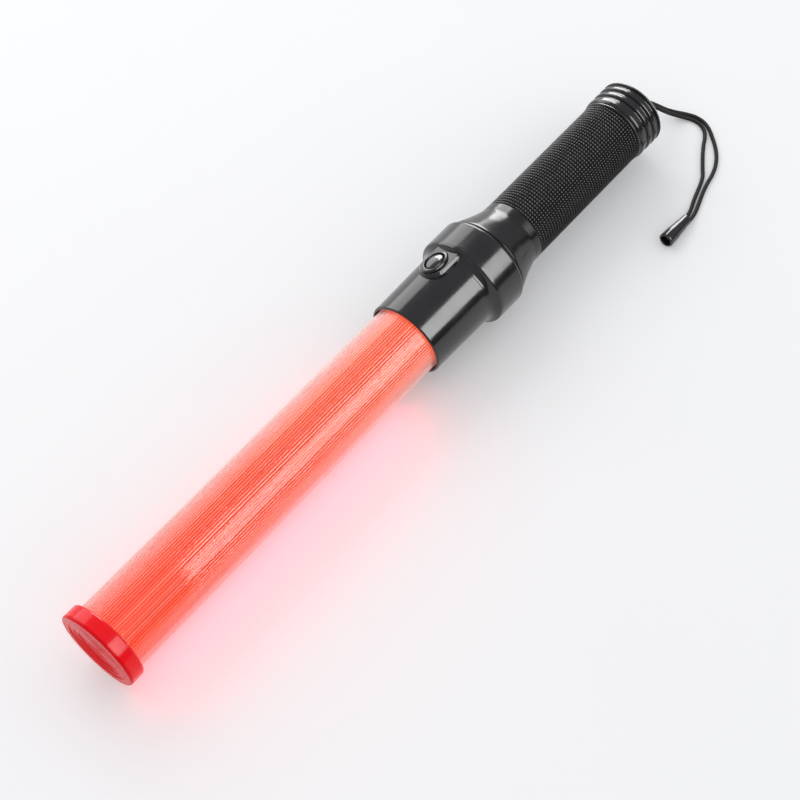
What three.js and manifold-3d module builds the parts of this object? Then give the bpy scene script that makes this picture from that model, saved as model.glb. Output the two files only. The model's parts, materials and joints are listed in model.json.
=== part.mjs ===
// Traffic baton light: a glowing fluted tube, a black head with a push button, a squared-grip
// battery handle, a screw-on tail cap and a wrist strap. Millimetres, +Z up. The baton lies on
// its collar with its axis along X, the lit tip at -X and the wrist strap at +X.
import * as THREE from "three";
import { mergeVertices } from "three/addons/utils/BufferGeometryUtils.js";
import Module from "manifold-3d";

const wasm = await Module();
wasm.setup();

// ---------------------------------------------------------------- driving dimensions
const LENGTH = 427;
const TUBE_R = 20;
const FLUTES = 84;
const COLLAR_R = 27.2;
const GRIP_R = 19.3;
const TAIL_R = 20.2;
const CELL_R = 17;
const GAP = 0.3;

// stations along the axis, measured from the face of the tip cap
const TIP_CAP_END = 9;
const MOUTH = 226.6;
const TUBE_END = 237;
const POD_START = 252.2;
const BUTTON_X = 262;
const COLLAR_START = 272.9;
const COLLAR_END = 292.5;
const GRIP_START = 318.2;
const GRIP_END = 407;
const TAIL_START = GRIP_END + GAP;

// stations and radii inside the head and the handle
const HEAD_STEP = 240;
const SPIGOT_SEAT = 276.5;
const MOUTH_BORE_R = 20.9;
const HEAD_BORE_R = 20.2;
const STOP_BORE_R = 18.9;
const SPIGOT_BORE_R = 23;
const CELL_BORE_R = 17.5;
const THREAD_BORE_R = 18.4;

// the screw thread between handle and tail cap
const PITCH = 3;
const THREAD_START = 398.5;
const MALE_TURNS = 1.75;
const FEMALE_TURNS = 1.25;
const PLUG_R = 17.3;

// the button's direction leans over from +Z towards +Y
const BUTTON_LEAN = THREE.MathUtils.degToRad(22.5);
const POD_TOP = 24.6;
const POD_HALF_WIDTH = 8.4;

// facets round the axis
const COLLAR_SIDES = 24;
const ROUND_SIDES = 32;
const OVAL_STEPS = 24;
const FLAT_HALF_ANGLE = Math.PI / COLLAR_SIDES;
const AXIS_HEIGHT = COLLAR_R * Math.cos(FLAT_HALF_ANGLE);

const CORD_R = 1.2;

// ---------------------------------------------------------------- materials
function material(color, roughness, metalness = 0) {
  return new THREE.MeshStandardMaterial({ color, roughness, metalness });
}

const BLACK_GLOSS = material(0x151517, 0.22);
const BLACK_SATIN = material(0x18181a, 0.45);
const RED_CAP = material(0xe0202c, 0.25);
const CLEAR_TUBE = material(0xffb9b4, 0.15);
const RED_FILM = material(0xff4a2c, 0.5);
const BOARD_GREEN = material(0x1e6b3c, 0.5);
const LAMP_RED = material(0xff5040, 0.2);
const WHITE_PLASTIC = material(0xe8e8e4, 0.5);
const BRASS = material(0xc9a24b, 0.3, 1);
const STEEL = material(0xb8bcc0, 0.3, 1);
const CELL_JACKET = material(0x2c5aa0, 0.35, 0.3);
const RUBBER = material(0x101010, 0.7);
const CORD_BLACK = material(0x111113, 0.9);

const baton = new THREE.Group();
baton.position.set(-LENGTH / 2, 0, AXIS_HEIGHT);

function add(name, geometry, look) {
  const mesh = new THREE.Mesh(geometry, look.clone());
  mesh.name = name;
  baton.add(mesh);
}

// ---------------------------------------------------------------- shape helpers
// Turns an outline of [station, radius] points about the X axis, with a flat facing down.
function turned(outline, sides = ROUND_SIDES) {
  const points = outline.map(([x, r]) => new THREE.Vector2(r, x));
  const geometry = new THREE.LatheGeometry(points, sides, Math.PI / sides);
  geometry.rotateZ(-Math.PI / 2);
  return geometry;
}

// A ring between two stations; the outline closes on itself.
function ring(x0, x1, inner, outer, sides) {
  return turned([[x0, inner], [x0, outer], [x1, outer], [x1, inner], [x0, inner]], sides);
}

// A solid disc or rod between two stations; the outline starts and ends on the axis.
function disc(x0, x1, radius, sides) {
  return turned([[x0, 0], [x0, radius], [x1, radius], [x1, 0]], sides);
}

// An extrusion along +X of a shape drawn in the plane across the axis.
function alongX(shape, x0, x1) {
  const geometry = new THREE.ExtrudeGeometry(shape, { depth: x1 - x0, bevelEnabled: false });
  geometry.rotateY(Math.PI / 2);
  geometry.translate(x0, 0, 0);
  return geometry;
}

function box(x0, x1, y0, y1, z0, z1) {
  const geometry = new THREE.BoxGeometry(x1 - x0, y1 - y0, z1 - z0);
  geometry.translate((x0 + x1) / 2, (y0 + y1) / 2, (z0 + z1) / 2);
  return geometry;
}

function circlePath(radius, sides, start = 0) {
  const points = [];
  for (let i = 0; i < sides; i += 1) {
    const angle = start + (i * 2 * Math.PI) / sides;
    points.push(new THREE.Vector2(radius * Math.cos(angle), radius * Math.sin(angle)));
  }
  return points;
}

// An ellipse: halfLength runs along the axis, halfWidth across it.
function ovalPoints(halfLength, halfWidth) {
  const points = [];
  for (let i = 0; i < OVAL_STEPS; i += 1) {
    const angle = (i * 2 * Math.PI) / OVAL_STEPS;
    points.push(new THREE.Vector2(halfLength * Math.cos(angle), halfWidth * Math.sin(angle)));
  }
  return points;
}

// An extrusion along the button's direction, between two distances from the baton's axis.
function raised(shape, low, high) {
  const options = { depth: high - low, bevelEnabled: false, curveSegments: 10 };
  const geometry = new THREE.ExtrudeGeometry(shape, options);
  geometry.translate(0, 0, low);
  return geometry;
}

function solid(geometry) {
  const bare = geometry.clone();
  bare.deleteAttribute("normal");
  bare.deleteAttribute("uv");
  const merged = mergeVertices(bare, 1e-4);
  const mesh = new wasm.Mesh({
    numProp: 3,
    vertProperties: new Float32Array(merged.attributes.position.array),
    triVerts: new Uint32Array(merged.index.array),
  });
  return new wasm.Manifold(mesh);
}

function fromSolid(body) {
  const mesh = body.getMesh();
  const geometry = new THREE.BufferGeometry();
  geometry.setAttribute("position", new THREE.BufferAttribute(new Float32Array(mesh.vertProperties), 3));
  geometry.setIndex(new THREE.BufferAttribute(new Uint32Array(mesh.triVerts), 1));
  return geometry;
}

function lean(geometry) {
  const leaning = geometry.clone();
  leaning.rotateX(-BUTTON_LEAN);
  return leaning;
}

const THREAD_ROOT_WIDTH = 1.3;
const THREAD_CREST_WIDTH = 0.8;

// One helical thread ridge of trapezoid section, closed at both ends, winding towards +X.
function ridge(x0, turns, rootR, crestR) {
  const steps = Math.round(turns * ROUND_SIDES);
  const section = [
    [-THREAD_ROOT_WIDTH / 2, rootR],
    [-THREAD_CREST_WIDTH / 2, crestR],
    [THREAD_CREST_WIDTH / 2, crestR],
    [THREAD_ROOT_WIDTH / 2, rootR],
  ];
  const vertices = [];
  for (let i = 0; i <= steps; i += 1) {
    const angle = (i * 2 * Math.PI) / ROUND_SIDES;
    const x = x0 + (i * PITCH) / ROUND_SIDES;
    for (const [dx, r] of section) {
      vertices.push(x + dx, r * Math.cos(angle), r * Math.sin(angle));
    }
  }
  const outward = crestR > rootR;
  const faces = [];
  function quad(a, b, c, d) {
    if (outward) {
      faces.push(a, b, c, a, c, d);
    } else {
      faces.push(a, c, b, a, d, c);
    }
  }
  for (let i = 0; i < steps; i += 1) {
    for (let k = 0; k < section.length; k += 1) {
      const next = (k + 1) % section.length;
      const here = section.length * i;
      const ahead = here + section.length;
      quad(here + k, ahead + k, ahead + next, here + next);
    }
  }
  quad(0, 1, 2, 3);
  const last = section.length * steps;
  quad(last + 3, last + 2, last + 1, last);
  const geometry = new THREE.BufferGeometry();
  geometry.setAttribute("position", new THREE.Float32BufferAttribute(vertices, 3));
  geometry.setIndex(faces);
  return geometry;
}

// A round wire or cord along a smooth curve through the given points.
function tubeAlong(points, radius, sides, steps) {
  const curve = new THREE.CatmullRomCurve3(points.map((p) => new THREE.Vector3(...p)), false, "centripetal");
  const section = new THREE.Shape(circlePath(radius, sides, Math.PI / sides));
  return new THREE.ExtrudeGeometry(section, { steps, extrudePath: curve });
}

// ---------------------------------------------------------------- light end
const TUBE_START = 2.6;
const FLUTE_DEPTH = 0.35;
const TUBE_BORE_R = 18.3;
const BORE_SIDES = 48;

function lightTube() {
  const outline = [];
  for (let i = 0; i < 2 * FLUTES; i += 1) {
    const angle = (i * Math.PI) / FLUTES;
    const radius = i % 2 === 0 ? TUBE_R : TUBE_R - FLUTE_DEPTH;
    outline.push(new THREE.Vector2(radius * Math.cos(angle), radius * Math.sin(angle)));
  }
  const shape = new THREE.Shape(outline);
  shape.holes.push(new THREE.Path(circlePath(TUBE_BORE_R, BORE_SIDES)));
  return alongX(shape, TUBE_START, TUBE_END);
}

const LINER_R = 17.9;
const LINER_BORE_R = 17.4;

function colourLiner() {
  return ring(TUBE_START + 1, TUBE_END - 1, LINER_BORE_R, LINER_R, BORE_SIDES);
}

const TIP_CAP_R = 22.9;
const TIP_CAP_BORE_R = 20.5;
const TIP_FACE_THICKNESS = 2.3;
const TIP_EDGE = 0.8;
const FACE_STEP = 0.4;
const FACE_STEP_RADII = [12, 15, 18];

// The face steps down towards its middle in three shallow rings.
function tipCap() {
  const outline = [[FACE_STEP_RADII.length * FACE_STEP, 0]];
  FACE_STEP_RADII.forEach((radius, i) => {
    const depth = (FACE_STEP_RADII.length - i) * FACE_STEP;
    outline.push([depth, radius], [depth - FACE_STEP, radius + FACE_STEP]);
  });
  outline.push(
    [0, TIP_CAP_R - TIP_EDGE],
    [TIP_EDGE, TIP_CAP_R],
    [TIP_CAP_END - TIP_EDGE, TIP_CAP_R],
    [TIP_CAP_END, TIP_CAP_R - TIP_EDGE],
    [TIP_CAP_END, TIP_CAP_BORE_R],
    [TIP_FACE_THICKNESS, TIP_CAP_BORE_R],
    [TIP_FACE_THICKNESS, 0],
  );
  return turned(outline);
}

const BOARD_HALF_WIDTH = 5;
const BOARD_HALF_THICKNESS = 0.8;
const LED_BOARD_START = 5;
const LED_BOARD_END = 240;
const SUPPORT_R = 17;
const SUPPORT_LENGTH = 3;
const OPENING_R = 4.5;
const OPENING_OFFSET = 9;

function ledBoard() {
  return box(
    LED_BOARD_START,
    LED_BOARD_END,
    -BOARD_HALF_WIDTH,
    BOARD_HALF_WIDTH,
    -BOARD_HALF_THICKNESS,
    BOARD_HALF_THICKNESS,
  );
}

// A round support with a slot for the board and two openings beside it.
function boardSupport(start) {
  const shape = new THREE.Shape(circlePath(SUPPORT_R, ROUND_SIDES));
  const slotY = BOARD_HALF_WIDTH + GAP;
  const slotZ = BOARD_HALF_THICKNESS + GAP;
  const slot = new THREE.Path([
    new THREE.Vector2(-slotZ, -slotY),
    new THREE.Vector2(slotZ, -slotY),
    new THREE.Vector2(slotZ, slotY),
    new THREE.Vector2(-slotZ, slotY),
  ]);
  shape.holes.push(slot);
  for (const side of [-1, 1]) {
    const opening = new THREE.Path();
    opening.absarc(side * OPENING_OFFSET, 0, OPENING_R, 0, 2 * Math.PI);
    shape.holes.push(opening);
  }
  return alongX(shape, start, start + SUPPORT_LENGTH);
}

const LED_COUNT = 6;
const LED_FIRST = 30;
const LED_SPACING = 36;
const LED_R = 2.5;
const LED_RIM_R = 2.9;
const LED_STRAIGHT = 5;
const LED_SIDES = 12;

// A round-topped lamp standing on the board.
function ledAt(x) {
  const outline = [[0, 0], [0, LED_RIM_R], [1, LED_RIM_R], [1, LED_R], [LED_STRAIGHT, LED_R]];
  for (const angle of [Math.PI / 6, Math.PI / 3]) {
    outline.push([LED_STRAIGHT + LED_R * Math.sin(angle), LED_R * Math.cos(angle)]);
  }
  outline.push([LED_STRAIGHT + LED_R, 0]);
  const geometry = turned(outline, LED_SIDES);
  geometry.rotateY(-Math.PI / 2);
  geometry.translate(x, 0, BOARD_HALF_THICKNESS + GAP);
  return geometry;
}

// ---------------------------------------------------------------- head
const HOLE_HALF = [6.1, 4.6];
const FLANGE_POCKET_HALF = [7.4, 5.9];
const FLANGE_POCKET_TOP = 22.6;

// Sleeve round the tube, stepped collar and the bore through both.
function headTurning() {
  return turned(
    [
      [MOUTH, MOUTH_BORE_R],
      [MOUTH, 21.7],
      [MOUTH + 0.6, 22.3],
      [COLLAR_START - 4.3, 22.9],
      [COLLAR_START - 2.3, 23.6],
      [COLLAR_START - 0.8, 25.2],
      [COLLAR_START, 26.4],
      [COLLAR_START + 1, COLLAR_R],
      [COLLAR_END - 1.4, COLLAR_R],
      [COLLAR_END, 26.2],
      [COLLAR_END, SPIGOT_BORE_R],
      [SPIGOT_SEAT, SPIGOT_BORE_R],
      [SPIGOT_SEAT, HEAD_BORE_R],
      [HEAD_STEP, HEAD_BORE_R],
      [HEAD_STEP, STOP_BORE_R],
      [TUBE_END + GAP, STOP_BORE_R],
      [TUBE_END + GAP, MOUTH_BORE_R],
      [MOUTH, MOUTH_BORE_R],
    ],
    COLLAR_SIDES,
  );
}

// The raised, round-fronted pod that carries the button, drawn from above.
function podOutline() {
  const shape = new THREE.Shape();
  const frontCentre = POD_START + POD_HALF_WIDTH;
  shape.moveTo(COLLAR_START + 0.6, -POD_HALF_WIDTH);
  shape.lineTo(COLLAR_START + 0.6, POD_HALF_WIDTH);
  shape.lineTo(frontCentre, POD_HALF_WIDTH);
  shape.absarc(frontCentre, 0, POD_HALF_WIDTH, Math.PI / 2, (3 * Math.PI) / 2, false);
  return shape;
}

function ovalPrism([halfLength, halfWidth], low, high) {
  const geometry = raised(new THREE.Shape(ovalPoints(halfLength, halfWidth)), low, high);
  geometry.translate(BUTTON_X, 0, 0);
  return geometry;
}

const POD_ROOT = 18.5;
const CUT_LOW = 15;

function headShell() {
  const cavity = solid(disc(HEAD_STEP + 1, SPIGOT_SEAT - 0.5, HEAD_BORE_R - 0.02, COLLAR_SIDES));
  const pod = solid(lean(raised(podOutline(), POD_ROOT, POD_TOP))).subtract(cavity);
  const hole = solid(lean(ovalPrism(HOLE_HALF, CUT_LOW, POD_TOP + 2)));
  const pocket = solid(lean(ovalPrism(FLANGE_POCKET_HALF, CUT_LOW, FLANGE_POCKET_TOP)));
  return fromSolid(solid(headTurning()).add(pod).subtract(hole).subtract(pocket));
}

const RING_OUTER_HALF = [8.7, 6.1];
const RING_INNER_HALF = [6.3, 4.8];
const RING_TOP = POD_TOP + 1.5;

function buttonRing() {
  const shape = new THREE.Shape(ovalPoints(...RING_OUTER_HALF));
  shape.holes.push(new THREE.Path(ovalPoints(...RING_INNER_HALF)));
  const geometry = raised(shape, POD_TOP + GAP, RING_TOP);
  geometry.translate(BUTTON_X, 0, 0);
  return lean(geometry);
}

const BUTTON_HALF = [5.7, 4.2];
const FLANGE_HALF = [7, 5.5];
const FLANGE_LOW = 21.3;
const FLANGE_HIGH = 22.3;
const BUTTON_TOP = 26.9;
const DOME_HEIGHT = 1.3;

// Rings of oval sections stacked along the button's direction, closed top and bottom.
function ovalStack(levels) {
  const steps = OVAL_STEPS;
  const vertices = [];
  for (const [height, halfLength, halfWidth] of levels) {
    for (const p of ovalPoints(halfLength, halfWidth)) {
      vertices.push(BUTTON_X + p.x, p.y, height);
    }
  }
  const low = vertices.length / 3;
  vertices.push(BUTTON_X, 0, levels[0][0]);
  vertices.push(BUTTON_X, 0, levels[levels.length - 1][0]);
  const faces = [];
  for (let level = 0; level + 1 < levels.length; level += 1) {
    for (let i = 0; i < steps; i += 1) {
      const a = level * steps + i;
      const b = level * steps + ((i + 1) % steps);
      faces.push(a, b, b + steps, a, b + steps, a + steps);
    }
  }
  const top = (levels.length - 1) * steps;
  for (let i = 0; i < steps; i += 1) {
    const next = (i + 1) % steps;
    faces.push(low, next, i, low + 1, top + i, top + next);
  }
  const geometry = new THREE.BufferGeometry();
  geometry.setAttribute("position", new THREE.Float32BufferAttribute(vertices, 3));
  geometry.setIndex(faces);
  return geometry;
}

function pushButton() {
  const [halfLength, halfWidth] = BUTTON_HALF;
  const domeStart = BUTTON_TOP - DOME_HEIGHT;
  const levels = [
    [FLANGE_LOW, ...FLANGE_HALF],
    [FLANGE_HIGH, ...FLANGE_HALF],
    [FLANGE_HIGH + 0.01, halfLength, halfWidth],
    [domeStart, halfLength, halfWidth],
  ];
  for (let i = 1; i < 5; i += 1) {
    const angle = (i * Math.PI) / 10;
    const share = Math.cos(angle);
    levels.push([domeStart + DOME_HEIGHT * Math.sin(angle), halfLength * share, halfWidth * share]);
  }
  return lean(ovalStack(levels));
}

const SWITCH_TOP = 17.1;
const SWITCH_LOW = 13.6;
const SWITCH_HALF_WIDTH = 3;
const SWITCH_BOARD_THICKNESS = 1.6;
const PLUNGER_LOW = 18.9;
const POST_X = 249.5;
const ROD_SIDES = 16;

// A round rod along the button's direction.
function radialRod(x, y, low, high, radius) {
  const geometry = new THREE.CylinderGeometry(radius, radius, high - low, ROD_SIDES);
  geometry.rotateX(Math.PI / 2);
  geometry.translate(x, y, (low + high) / 2);
  return lean(geometry);
}

function switchBody() {
  const half = SWITCH_HALF_WIDTH;
  return lean(box(BUTTON_X - half, BUTTON_X + half, -half, half, SWITCH_LOW, SWITCH_TOP));
}

function switchBoard() {
  const top = SWITCH_LOW - GAP;
  return lean(box(POST_X - 3, BUTTON_X + 5, -7, 7, top - SWITCH_BOARD_THICKNESS, top));
}

const DISC_START = 267.8;
const DISC_R = 19.6;

// ---------------------------------------------------------------- handle
const HANDLE_START = SPIGOT_SEAT + GAP;
const CELL_BORE_END = 396.2;
const SPIGOT_R = 22.4;
const CONE_START = COLLAR_END + 0.4;
const CONE_R = 25.4;
const NECK_R = 19.2;
const STRIP_HALF_WIDTH = 2.2;
const STRIP_HEIGHTS = [-18.1, -17.6];
const CHANNEL_HALF_WIDTH = STRIP_HALF_WIDTH + 0.4;
const THREAD_BITE = 0.25;
const FEMALE_CREST_R = 17.7;
const MALE_CREST_R = 18.05;

// One moulding: spigot, cone, neck and grip, with the return strip's channel in its bore.
function handle() {
  const bore = [
    [GRIP_END, THREAD_BORE_R],
    [CELL_BORE_END + 0.8, THREAD_BORE_R],
    [CELL_BORE_END, CELL_BORE_R],
    [HANDLE_START, CELL_BORE_R],
  ];
  const outside = [
    [HANDLE_START, CELL_BORE_R],
    [HANDLE_START, SPIGOT_R - 0.3],
    [HANDLE_START + 0.4, SPIGOT_R],
    [CONE_START, SPIGOT_R],
    [CONE_START, CONE_R - 0.2],
    [CONE_START + 1, CONE_R],
    [GRIP_START - 14.2, 21.6],
    [GRIP_START - 9.2, 20.1],
    [GRIP_START - 6.2, 19.3],
    [GRIP_START, NECK_R],
    [GRIP_START + 0.1, GRIP_R],
    [GRIP_END, GRIP_R],
  ];
  const body = solid(turned([...outside, ...bore]));
  const channel = solid(
    box(
      HANDLE_START - 1,
      CELL_BORE_END - 0.2,
      -CHANNEL_HALF_WIDTH,
      CHANNEL_HALF_WIDTH,
      STRIP_HEIGHTS[0] - 0.4,
      STRIP_HEIGHTS[1] + 1.1,
    ),
  );
  const thread = solid(
    ridge(THREAD_START + PITCH / 2, FEMALE_TURNS, THREAD_BORE_R + THREAD_BITE, FEMALE_CREST_R),
  );
  return fromSolid(body.subtract(channel).add(thread));
}

function returnStrip() {
  return box(
    HANDLE_START + 0.2,
    CELL_BORE_END - 0.7,
    -STRIP_HALF_WIDTH,
    STRIP_HALF_WIDTH,
    ...STRIP_HEIGHTS,
  );
}

const CELL_COUNT = 2;
const CELL_TIP_LENGTH = 1.4;
const CELL_TIP_R = 4.6;
const CELL_LENGTH = 59.7;
const FIRST_CELL_START = 272.8;

function cellStart(index) {
  return FIRST_CELL_START + index * (CELL_TIP_LENGTH + CELL_LENGTH + 2 * GAP);
}

function cellTip(index) {
  return disc(cellStart(index), cellStart(index) + CELL_TIP_LENGTH, CELL_TIP_R);
}

function cellCan(index) {
  const start = cellStart(index) + CELL_TIP_LENGTH + GAP;
  const end = start + CELL_LENGTH;
  return turned([
    [start, 0],
    [start, CELL_R - 1.2],
    [start + 0.8, CELL_R - 0.2],
    [start + 1.4, CELL_R],
    [end - 0.8, CELL_R],
    [end, CELL_R - 0.8],
    [end, 0],
  ]);
}

// ---------------------------------------------------------------- tail
const GROOVES = [412.8, 417.9, 422.8];
const GROOVE_DEPTH = 1;
const GROOVE_HALF_WIDTH = 0.95;
const GROOVE_FLOOR_HALF = 0.5;
const PLUG_START = 397.6;
const SEAL_GROOVE = [404.9, 406.6];
const SEAL_GROOVE_R = 16.6;
const CAP_BORE_R = 13.5;
const CAP_WALL_START = 421.5;
const STRAP_HOLE_R = 4.1;

// The threaded plug, the seal's groove, the grooved outside and the end wall with the strap's hole.
function tailCap() {
  const outline = [
    [PLUG_START, CAP_BORE_R],
    [PLUG_START, PLUG_R - 0.4],
    [PLUG_START + 0.4, PLUG_R],
    [SEAL_GROOVE[0], PLUG_R],
    [SEAL_GROOVE[0], SEAL_GROOVE_R],
    [SEAL_GROOVE[1], SEAL_GROOVE_R],
    [SEAL_GROOVE[1], PLUG_R],
    [TAIL_START, PLUG_R],
    [TAIL_START, TAIL_R - 0.8],
    [TAIL_START + 1, TAIL_R],
  ];
  for (const x of GROOVES) {
    outline.push([x - GROOVE_HALF_WIDTH, TAIL_R], [x - GROOVE_FLOOR_HALF, TAIL_R - GROOVE_DEPTH]);
    outline.push([x + GROOVE_FLOOR_HALF, TAIL_R - GROOVE_DEPTH], [x + GROOVE_HALF_WIDTH, TAIL_R]);
  }
  outline.push(
    [LENGTH - 2.9, TAIL_R - 0.2],
    [LENGTH - 1, TAIL_R - 1.4],
    [LENGTH, TAIL_R - 3.2],
    [LENGTH, STRAP_HOLE_R],
    [CAP_WALL_START, STRAP_HOLE_R],
    [CAP_WALL_START, CAP_BORE_R],
    [PLUG_START, CAP_BORE_R],
  );
  const body = solid(turned(outline, COLLAR_SIDES));
  const thread = solid(ridge(THREAD_START, MALE_TURNS, PLUG_R - THREAD_BITE, MALE_CREST_R));
  return fromSolid(body.add(thread));
}

const SEAL_R = 17.45;
const SEAL_SECTION_R = 0.5;
const SEAL_SIDES = 6;

function sealRing() {
  const centre = (SEAL_GROOVE[0] + SEAL_GROOVE[1]) / 2;
  const outline = [];
  for (let i = 0; i <= SEAL_SIDES; i += 1) {
    const angle = (i * 2 * Math.PI) / SEAL_SIDES;
    outline.push([centre - SEAL_SECTION_R * Math.cos(angle), SEAL_R + SEAL_SECTION_R * Math.sin(angle)]);
  }
  return turned(outline);
}

const SPRING_START = 397.2;
const SPRING_LENGTH = 19.8;
const SPRING_TURNS = 4;
const SPRING_SMALL_R = 5;
const SPRING_WIRE_R = 0.6;
const SPRING_WIRE_SIDES = 5;
const PLATE_START = 418;
const PLATE_R = 12.6;

// The conical contact spring between the cap and the last cell; its radius doubles along it.
function tailSpring() {
  const steps = SPRING_TURNS * 14;
  const points = [];
  for (let i = 0; i <= steps; i += 1) {
    const share = i / steps;
    const angle = share * SPRING_TURNS * 2 * Math.PI;
    const radius = SPRING_SMALL_R * (1 + share);
    const x = SPRING_START + SPRING_LENGTH * share;
    points.push([x, radius * Math.cos(angle), radius * Math.sin(angle)]);
  }
  return tubeAlong(points, SPRING_WIRE_R, SPRING_WIRE_SIDES, steps);
}

function springPlate() {
  return disc(PLATE_START, PLATE_START + 0.8, PLATE_R);
}

const FERRULE_START = PLATE_START + 1.8;
const FERRULE_R = STRAP_HOLE_R - 0.4;
const FERRULE_FLANGE_R = 6.2;
const FERRULE_BORE_R = 2.8;

// The grommet in the middle of the cap that holds both strands and lets the strap swivel.
function strapFerrule() {
  return turned(
    [
      [FERRULE_START, FERRULE_BORE_R],
      [FERRULE_START, FERRULE_FLANGE_R],
      [CAP_WALL_START - GAP, FERRULE_FLANGE_R],
      [CAP_WALL_START - GAP, FERRULE_R],
      [LENGTH, FERRULE_R],
      [LENGTH, FERRULE_BORE_R],
      [FERRULE_START, FERRULE_BORE_R],
    ],
    COLLAR_SIDES,
  );
}

// ---------------------------------------------------------------- wrist strap
// Route of each strand: station from the tip, sideways place, height above the ground.
const CORD_A_ROUTE = [
  [422, -1.35, AXIS_HEIGHT],
  [427, -1.4, AXIS_HEIGHT],
  [434, -2.4, 26.2],
  [438.5, -4.3, 23.4],
  [443, -6.5, 18.6],
  [447.5, -8.2, 13.4],
  [452, -9.8, 8.4],
  [456.5, -12.2, 4.2],
  [460, -16, 1.9],
  [461.9, -20.5, 1.3],
  [461.9, -25.3, 1.3],
  [459.7, -29.8, 1.3],
  [455.9, -33, 1.3],
  [451, -35.6, 1.3],
  [446.3, -38.4, 1.3],
  [441.5, -41.6, 1.3],
  [436.8, -44.9, 1.3],
  [431.8, -48.4, 1.3],
  [426.5, -50.6, 1.3],
  [420.5, -52.5, 1.3],
  [414.5, -54.5, 1.3],
  [408.5, -56.7, 1.4],
  [403, -58, 2.2],
  [398.2, -58, 2.9],
];
const CORD_B_ROUTE = [
  [422, 1.35, AXIS_HEIGHT],
  [427, 1.3, AXIS_HEIGHT],
  [434.6, 0.3, 26.2],
  [439.7, -1.9, 23.2],
  [444.6, -4.4, 18.2],
  [449.2, -6.1, 12.9],
  [453.8, -7.8, 7.9],
  [458.7, -10.6, 3.7],
  [462.6, -15, 1.7],
  [464.7, -20.3, 1.3],
  [464.6, -26, 1.3],
  [462.3, -31.4, 1.3],
  [459, -35.8, 1.3],
  [455.3, -40.2, 1.3],
  [451.2, -44.2, 1.3],
  [446.8, -47.4, 1.3],
  [441.8, -50, 1.3],
  [436, -51.9, 1.3],
  [429.5, -53.2, 1.3],
  [422.5, -55.1, 1.3],
  [415.8, -57.4, 1.3],
  [409, -59.6, 1.4],
  [403, -60.7, 2.2],
  [398.2, -60.7, 2.9],
];
const CORD_STEPS = 48;
const CORD_SIDES = 8;

function wristCord(route) {
  const points = route.map(([x, y, height]) => [x, y, height - AXIS_HEIGHT]);
  return tubeAlong(points, CORD_R, CORD_SIDES, CORD_STEPS);
}

// The bell-shaped fitting on the strap's end, lying on the ground with its open end towards the tip.
const BELL_LENGTH = 20.5;
const BELL_R = 4.3;
const BELL_NECK_R = 3;
const BELL_MOUTH_R = 3;
const BELL_MOUTH_DEPTH = 4;
const NECK_POCKET_R = 2.85;
const NECK_POCKET_DEPTH = 2.5;
const BELL_NECK_AT = [400.4, -59.35, 3.3];

function cordEnd() {
  const geometry = turned([
    [-BELL_LENGTH + BELL_MOUTH_DEPTH, 0],
    [-BELL_LENGTH + BELL_MOUTH_DEPTH, BELL_MOUTH_R],
    [-BELL_LENGTH, BELL_MOUTH_R],
    [-BELL_LENGTH, BELL_R - 0.5],
    [-BELL_LENGTH + 0.5, BELL_R],
    [-14, BELL_R - 0.15],
    [-9, BELL_NECK_R + 0.6],
    [-3, BELL_NECK_R + 0.05],
    [0, BELL_NECK_R],
    [0, NECK_POCKET_R],
    [-NECK_POCKET_DEPTH, NECK_POCKET_R],
    [-NECK_POCKET_DEPTH, 0],
  ]);
  const slope = Math.atan2(BELL_R - BELL_NECK_R, BELL_LENGTH);
  const [x, y, height] = BELL_NECK_AT;
  geometry.rotateY(slope);
  geometry.translate(x, y, height - AXIS_HEIGHT);
  return geometry;
}

// ---------------------------------------------------------------- assembly
add("light_tube", lightTube(), CLEAR_TUBE);
add("colour_liner", colourLiner(), RED_FILM);
add("tip_cap", tipCap(), RED_CAP);
add("led_board", ledBoard(), BOARD_GREEN);
for (let i = 0; i < LED_COUNT; i += 1) {
  add(`led_${i + 1}`, ledAt(LED_FIRST + i * LED_SPACING), LAMP_RED);
}
add("tip_support", boardSupport(9), WHITE_PLASTIC);
add("base_support", boardSupport(228), WHITE_PLASTIC);

add("head_shell", headShell(), BLACK_GLOSS);
add("button_ring", buttonRing(), BLACK_GLOSS);
add("push_button", pushButton(), BLACK_GLOSS);
add("switch_plunger", radialRod(BUTTON_X, 0, PLUNGER_LOW, FLANGE_LOW - GAP, 1.7), WHITE_PLASTIC);
add("switch_body", switchBody(), BLACK_SATIN);
add("switch_board", switchBoard(), BOARD_GREEN);
add("board_post_1", radialRod(POST_X, 0, SWITCH_LOW, 19.5, 1.9), WHITE_PLASTIC);
add("board_post_2", radialRod(POST_X, 5, SWITCH_LOW, 18.6, 1.5), WHITE_PLASTIC);
add("contact_disc", disc(DISC_START, DISC_START + 3, DISC_R), WHITE_PLASTIC);
add("front_contact", disc(DISC_START + 3.3, DISC_START + 4.7, CELL_TIP_R), BRASS);

add("handle", handle(), BLACK_SATIN);
for (let i = 0; i < CELL_COUNT; i += 1) {
  add(`cell_${i + 1}`, cellCan(i), CELL_JACKET);
  add(`cell_${i + 1}_tip`, cellTip(i), STEEL);
}
add("return_strip", returnStrip(), STEEL);

add("tail_cap", tailCap(), BLACK_GLOSS);
add("seal_ring", sealRing(), RUBBER);
add("tail_spring", tailSpring(), STEEL);
add("spring_plate", springPlate(), BRASS);
add("strap_ferrule", strapFerrule(), BLACK_SATIN);
add("wrist_cord_a", wristCord(CORD_A_ROUTE), CORD_BLACK);
add("wrist_cord_b", wristCord(CORD_B_ROUTE), CORD_BLACK);
add("cord_end", cordEnd(), BLACK_GLOSS);

export default baton;
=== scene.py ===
"""Looks of the traffic baton light: glowing fluted tube, glossy head, squared grip and wrist strap.

Lengths are metres, apart from the profiles, which are millimetres along and out from the axis.
"""
import json
import math

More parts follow.
